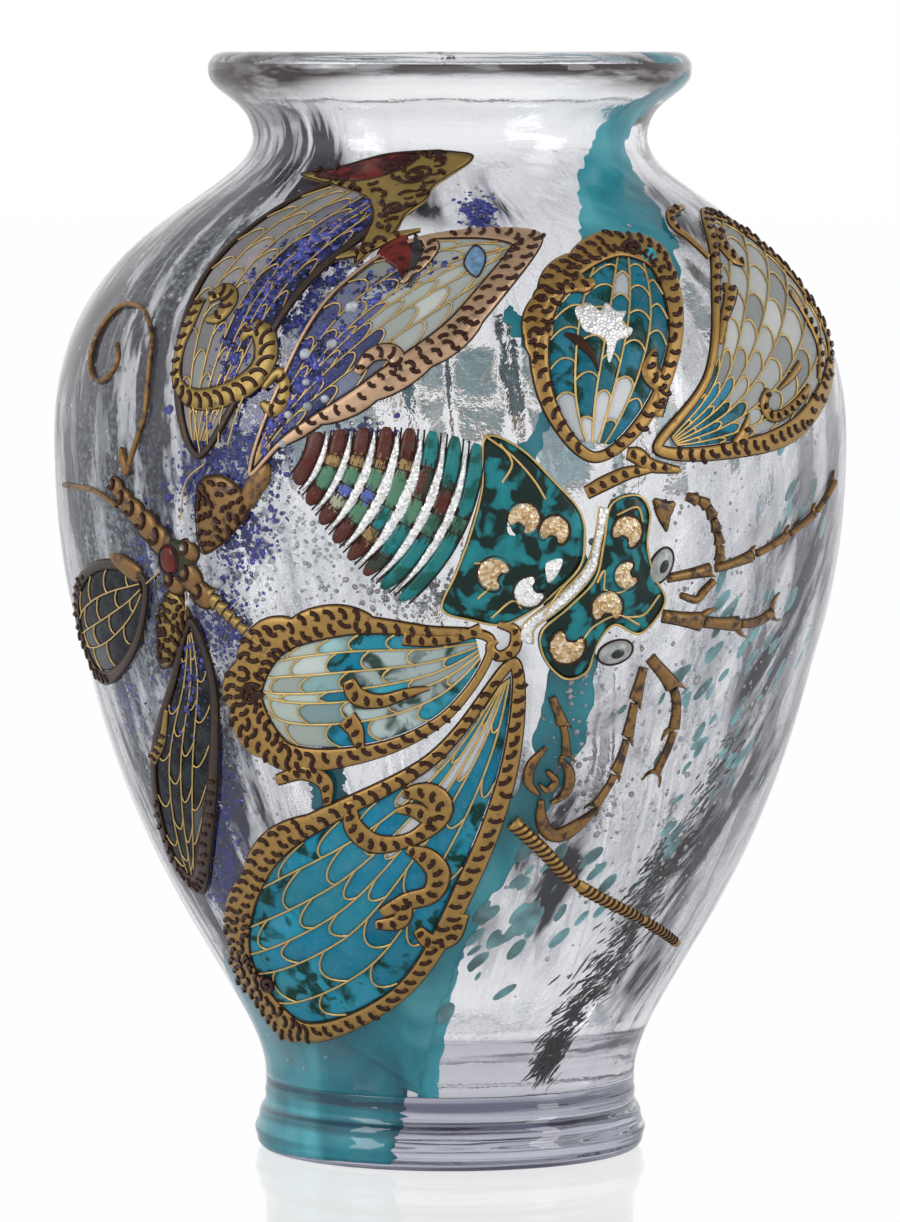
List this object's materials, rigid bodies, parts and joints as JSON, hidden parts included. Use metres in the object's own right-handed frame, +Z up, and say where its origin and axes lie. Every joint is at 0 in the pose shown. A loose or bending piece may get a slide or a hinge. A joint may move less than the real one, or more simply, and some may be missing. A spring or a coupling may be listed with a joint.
{
  "type": "glass vase",
  "caption": "Blown glass vase with a flared lip and a round foot, decorated in relief with enamelled and gilded moths, a twig and a dragonfly.",
  "frame": {"origin": "on the floor under the middle of the foot", "axes": "+Z up along the vase's axis, -Y towards the front with the large moth, +X to the viewer's right"},
  "size_m": [0.1732, 0.1779, 0.24],
  "materials": {
    "body_glass": "gloss",
    "foot_glass": "gloss",
    "gilding": "satin",
    "brown_gilding": "satin",
    "teal_enamel": "gloss",
    "grey_enamel": "gloss",
    "dark_green_enamel": "gloss",
    "red_brown_enamel": "gloss",
    "cream_enamel": "gloss",
    "blue_enamel": "gloss",
    "green_enamel": "gloss",
    "foil_jewel": "gloss",
    "eye_enamel": "gloss"
  },
  "bodies": {
    "root": {"foot": "foot_glass", "glass_body": "body_glass", "large_moth_thorax": "dark_green_enamel", "large_moth_head": "dark_green_enamel", "large_moth_abdomen_band_1": "red_brown_enamel", "large_moth_abdomen_band_2": "cream_enamel", "large_moth_abdomen_band_3": "green_enamel", "large_moth_abdomen_band_4": "red_brown_enamel", "large_moth_abdomen_band_5": "green_enamel", "large_moth_abdomen_band_6": "cream_enamel", "large_moth_abdomen_band_7": "green_enamel", "large_moth_abdomen_band_8": "dark_green_enamel", "large_moth_eye_1": "eye_enamel", "large_moth_eye_2": "eye_enamel", "large_moth_crescent_1": "foil_jewel", "large_moth_crescent_2": "foil_jewel", "large_moth_crescent_3": "foil_jewel", "large_moth_crescent_4": "foil_jewel", "large_moth_crescent_5": "foil_jewel", "large_moth_crescent_6": "foil_jewel", "large_moth_crescent_7": "foil_jewel", "large_moth_wing_lower_border": "gilding", "large_moth_wing_lower_field": "teal_enamel", "large_moth_wing_left_border": "gilding", "large_moth_wing_left_field": "grey_enamel", "large_moth_wing_upper_border": "gilding", "large_moth_wing_upper_field": "teal_enamel", "large_moth_wing_right_border": "gilding", "large_moth_wing_right_field": "grey_enamel", "large_moth_leg_1": "brown_gilding", "large_moth_leg_2": "brown_gilding", "large_moth_leg_3": "brown_gilding", "large_moth_leg_4": "brown_gilding", "large_moth_leg_5": "brown_gilding", "large_moth_antenna": "brown_gilding", "blue_moth_thorax": "red_brown_enamel", "blue_moth_head": "blue_enamel", "blue_moth_abdomen": "brown_gilding", "blue_moth_petal_1": "gilding", "blue_moth_petal_2": "gilding", "blue_moth_wing_upper_border": "gilding", "blue_moth_wing_upper_field": "blue_enamel", "blue_moth_wing_right_border": "gilding", "blue_moth_wing_right_field": "grey_enamel", "blue_moth_wing_left_border": "gilding", "blue_moth_wing_left_field": "blue_enamel", "blue_moth_wing_lower_border": "gilding", "blue_moth_wing_lower_field": "blue_enamel", "blue_moth_antenna_1": "brown_gilding", "blue_moth_antenna_2": "brown_gilding", "twig": "gilding", "dragonfly_head": "dark_green_enamel", "dragonfly_thorax": "green_enamel", "dragonfly_abdomen": "teal_enamel", "dragonfly_wing_upper_right": "grey_enamel", "dragonfly_wing_lower_right": "grey_enamel", "dragonfly_wing_upper_left": "grey_enamel", "dragonfly_wing_lower_left": "grey_enamel"}
  },
  "joints": []
}
